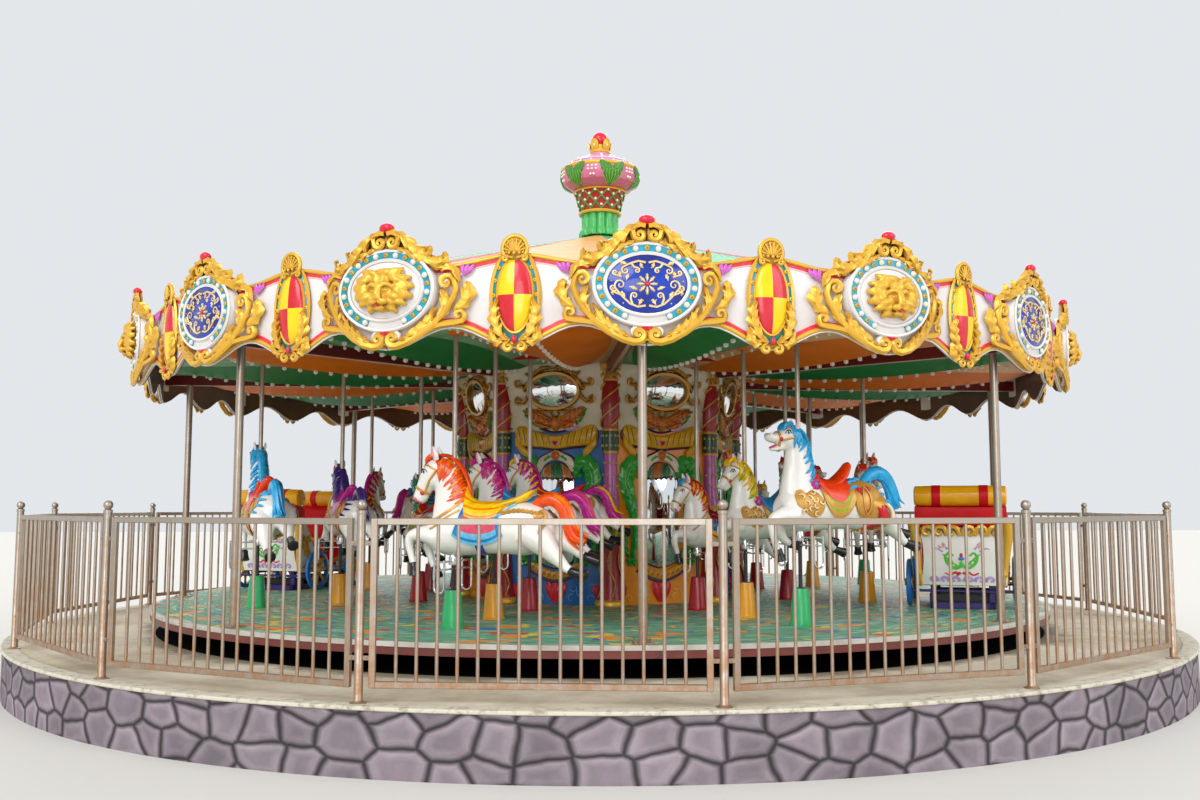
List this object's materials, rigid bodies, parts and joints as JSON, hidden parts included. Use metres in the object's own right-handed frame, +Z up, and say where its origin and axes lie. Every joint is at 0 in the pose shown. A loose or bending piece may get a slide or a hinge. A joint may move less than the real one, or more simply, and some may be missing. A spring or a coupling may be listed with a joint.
{
  "type": "fairground carousel",
  "caption": "Fairground carousel with jumping horses and chariots under a round canopy with shaped boards, on a fenced masonry plinth.",
  "frame": {"origin": "centre of the plinth's underside, on the axis that the carousel turns about", "axes": "+Z up along the axis; -Y through the first column, at the front; +X to the right seen from the front"},
  "size_m": [11.43, 11.43, 5.765],
  "materials": {
    "painted_masonry": "painted render drawn as grey-mauve stones, with a bare concrete top",
    "stainless_steel": "satin stainless tube with brownish stains",
    "dark_steel": "dark oily paint",
    "floor_paint": "worn green sheet with coloured streaks",
    "edge_paint": "red-brown band under a white trim",
    "drum_paint": "gloss paint on moulded panels",
    "ceiling_paint": "satin paint in orange and green gores",
    "roof_paint": "gloss paint in cream, pink and green gores",
    "board_paint": "white gloss with gold rails",
    "finial_paint": "gloss pink, red and green paint",
    "horse_gloss": "glossy painted glass fibre",
    "chariot_gloss": "glossy painted glass fibre",
    "gold_paint": "metallic gold paint",
    "colour_gloss": "gloss paint in bright colours",
    "mirror_glass": "silvered glass",
    "bulb_cover": "translucent lamp domes"
  },
  "bodies": {
    "base": {"plinth": "painted_masonry", "centre_base": "dark_steel", "fence_section_1": "stainless_steel", "fence_section_2": "stainless_steel", "fence_section_3": "stainless_steel", "fence_section_4": "stainless_steel", "fence_section_5": "stainless_steel", "fence_section_6": "stainless_steel", "fence_section_7": "stainless_steel", "fence_section_8": "stainless_steel"},
    "turntable": {"floor_deck": "floor_paint", "platform_edge": "edge_paint", "column_and_beam_1": "stainless_steel", "column_and_beam_2": "stainless_steel", "column_and_beam_3": "stainless_steel", "column_and_beam_4": "stainless_steel", "column_and_beam_5": "stainless_steel", "column_and_beam_6": "stainless_steel", "column_and_beam_7": "stainless_steel", "column_and_beam_8": "stainless_steel", "centre_drum": "drum_paint", "ceiling": "ceiling_paint", "roof": "roof_paint", "rounding_board_1": "board_paint", "rounding_board_2": "board_paint", "rounding_board_3": "board_paint", "rounding_board_4": "board_paint", "rounding_board_5": "board_paint", "rounding_board_6": "board_paint", "rounding_board_7": "board_paint", "rounding_board_8": "board_paint", "finial_basket": "finial_paint", "finial_dome": "finial_paint", "chariot_1": "chariot_gloss", "chariot_2": "chariot_gloss"},
    "outer_horse_1": {"outer_horse_1": "horse_gloss"},
    "outer_horse_2": {"outer_horse_2": "horse_gloss"},
    "outer_horse_4": {"outer_horse_4": "horse_gloss"},
    "outer_horse_5": {"outer_horse_5": "horse_gloss"},
    "outer_horse_6": {"outer_horse_6": "horse_gloss"},
    "outer_horse_8": {"outer_horse_8": "horse_gloss"},
    "middle_horse_1": {"middle_horse_1": "horse_gloss"},
    "middle_horse_2": {"middle_horse_2": "horse_gloss"},
    "middle_horse_3": {"middle_horse_3": "horse_gloss"},
    "middle_horse_4": {"middle_horse_4": "horse_gloss"},
    "middle_horse_5": {"middle_horse_5": "horse_gloss"},
    "middle_horse_6": {"middle_horse_6": "horse_gloss"},
    "middle_horse_7": {"middle_horse_7": "horse_gloss"},
    "middle_horse_8": {"middle_horse_8": "horse_gloss"},
    "inner_horse_1": {"inner_horse_1": "horse_gloss"},
    "inner_horse_2": {"inner_horse_2": "horse_gloss"},
    "inner_horse_3": {"inner_horse_3": "horse_gloss"},
    "inner_horse_4": {"inner_horse_4": "horse_gloss"},
    "inner_horse_5": {"inner_horse_5": "horse_gloss"},
    "inner_horse_6": {"inner_horse_6": "horse_gloss"},
    "inner_horse_7": {"inner_horse_7": "horse_gloss"},
    "inner_horse_8": {"inner_horse_8": "horse_gloss"}
  },
  "joints": [
    {"name": "carousel_spin", "type": "hinge", "parent": "base", "child": "turntable", "pos_m": [0, 0, 0], "axis": [0, 0, -1], "continuous": true},
    {"name": "outer_horse_1_jump", "type": "slide", "parent": "turntable", "child": "outer_horse_1", "axis": [0, 0, 1], "range_m": [-0.03, 0.21]},
    {"name": "outer_horse_2_jump", "type": "slide", "parent": "turntable", "child": "outer_horse_2", "axis": [0, 0, 1], "range_m": [-0.21, 0.03]},
    {"name": "outer_horse_4_jump", "type": "slide", "parent": "turntable", "child": "outer_horse_4", "axis": [0, 0, 1], "range_m": [-0.21, 0.03]},
    {"name": "outer_horse_5_jump", "type": "slide", "parent": "turntable", "child": "outer_horse_5", "axis": [0, 0, 1], "range_m": [-0.12, 0.12]},
    {"name": "outer_horse_6_jump", "type": "slide", "parent": "turntable", "child": "outer_horse_6", "axis": [0, 0, 1], "range_m": [-0.21, 0.03]},
    {"name": "outer_horse_8_jump", "type": "slide", "parent": "turntable", "child": "outer_horse_8", "axis": [0, 0, 1], "range_m": [-0.12, 0.12]},
    {"name": "middle_horse_1_jump", "type": "slide", "parent": "turntable", "child": "middle_horse_1", "axis": [0, 0, 1], "range_m": [-0.12, 0.12]},
    {"name": "middle_horse_2_jump", "type": "slide", "parent": "turntable", "child": "middle_horse_2", "axis": [0, 0, 1], "range_m": [-0.12, 0.12]},
    {"name": "middle_horse_3_jump", "type": "slide", "parent": "turntable", "child": "middle_horse_3", "axis": [0, 0, 1], "range_m": [-0.12, 0.12]},
    {"name": "middle_horse_4_jump", "type": "slide", "parent": "turntable", "child": "middle_horse_4", "axis": [0, 0, 1], "range_m": [-0.12, 0.12]},
    {"name": "middle_horse_5_jump", "type": "slide", "parent": "turntable", "child": "middle_horse_5", "axis": [0, 0, 1], "range_m": [-0.12, 0.12]},
    {"name": "middle_horse_6_jump", "type": "slide", "parent": "turntable", "child": "middle_horse_6", "axis": [0, 0, 1], "range_m": [-0.12, 0.12]},
    {"name": "middle_horse_7_jump", "type": "slide", "parent": "turntable", "child": "middle_horse_7", "axis": [0, 0, 1], "range_m": [-0.12, 0.12]},
    {"name": "middle_horse_8_jump", "type": "slide", "parent": "turntable", "child": "middle_horse_8", "axis": [0, 0, 1], "range_m": [-0.12, 0.12]},
    {"name": "inner_horse_1_jump", "type": "slide", "parent": "turntable", "child": "inner_horse_1", "axis": [0, 0, 1], "range_m": [-0.21, 0.03]},
    {"name": "inner_horse_2_jump", "type": "slide", "parent": "turntable", "child": "inner_horse_2", "axis": [0, 0, 1], "range_m": [-0.03, 0.21]},
    {"name": "inner_horse_3_jump", "type": "slide", "parent": "turntable", "child": "inner_horse_3", "axis": [0, 0, 1], "range_m": [-0.21, 0.03]},
    {"name": "inner_horse_4_jump", "type": "slide", "parent": "turntable", "child": "inner_horse_4", "axis": [0, 0, 1], "range_m": [-0.03, 0.21]},
    {"name": "inner_horse_5_jump", "type": "slide", "parent": "turntable", "child": "inner_horse_5", "axis": [0, 0, 1], "range_m": [-0.21, 0.03]},
    {"name": "inner_horse_6_jump", "type": "slide", "parent": "turntable", "child": "inner_horse_6", "axis": [0, 0, 1], "range_m": [-0.03, 0.21]},
    {"name": "inner_horse_7_jump", "type": "slide", "parent": "turntable", "child": "inner_horse_7", "axis": [0, 0, 1], "range_m": [-0.21, 0.03]},
    {"name": "inner_horse_8_jump", "type": "slide", "parent": "turntable", "child": "inner_horse_8", "axis": [0, 0, 1], "range_m": [-0.03, 0.21]}
  ],
  "couplings": [
    {"joint": "outer_horse_2_jump", "follows": "outer_horse_1_jump", "ratio": -1},
    {"joint": "outer_horse_4_jump", "follows": "outer_horse_1_jump", "ratio": -1},
    {"joint": "outer_horse_5_jump", "follows": "outer_horse_8_jump", "ratio": -1},
    {"joint": "outer_horse_6_jump", "follows": "outer_horse_1_jump", "ratio": -1},
    {"joint": "middle_horse_1_jump", "follows": "outer_horse_8_jump", "ratio": 1},
    {"joint": "middle_horse_2_jump", "follows": "outer_horse_8_jump", "ratio": -1},
    {"joint": "middle_horse_3_jump", "follows": "outer_horse_8_jump", "ratio": 1},
    {"joint": "middle_horse_4_jump", "follows": "outer_horse_8_jump", "ratio": -1},
    {"joint": "middle_horse_5_jump", "follows": "outer_horse_8_jump", "ratio": 1},
    {"joint": "middle_horse_6_jump", "follows": "outer_horse_8_jump", "ratio": -1},
    {"joint": "middle_horse_7_jump", "follows": "outer_horse_8_jump", "ratio": 1},
    {"joint": "middle_horse_8_jump", "follows": "outer_horse_8_jump", "ratio": -1},
    {"joint": "inner_horse_1_jump", "follows": "outer_horse_1_jump", "ratio": -1},
    {"joint": "inner_horse_2_jump", "follows": "outer_horse_1_jump", "ratio": 1},
    {"joint": "inner_horse_3_jump", "follows": "outer_horse_1_jump", "ratio": -1},
    {"joint": "inner_horse_4_jump", "follows": "outer_horse_1_jump", "ratio": 1},
    {"joint": "inner_horse_5_jump", "follows": "outer_horse_1_jump", "ratio": -1},
    {"joint": "inner_horse_6_jump", "follows": "outer_horse_1_jump", "ratio": 1},
    {"joint": "inner_horse_7_jump", "follows": "outer_horse_1_jump", "ratio": -1},
    {"joint": "inner_horse_8_jump", "follows": "outer_horse_1_jump", "ratio": 1}
  ]
}
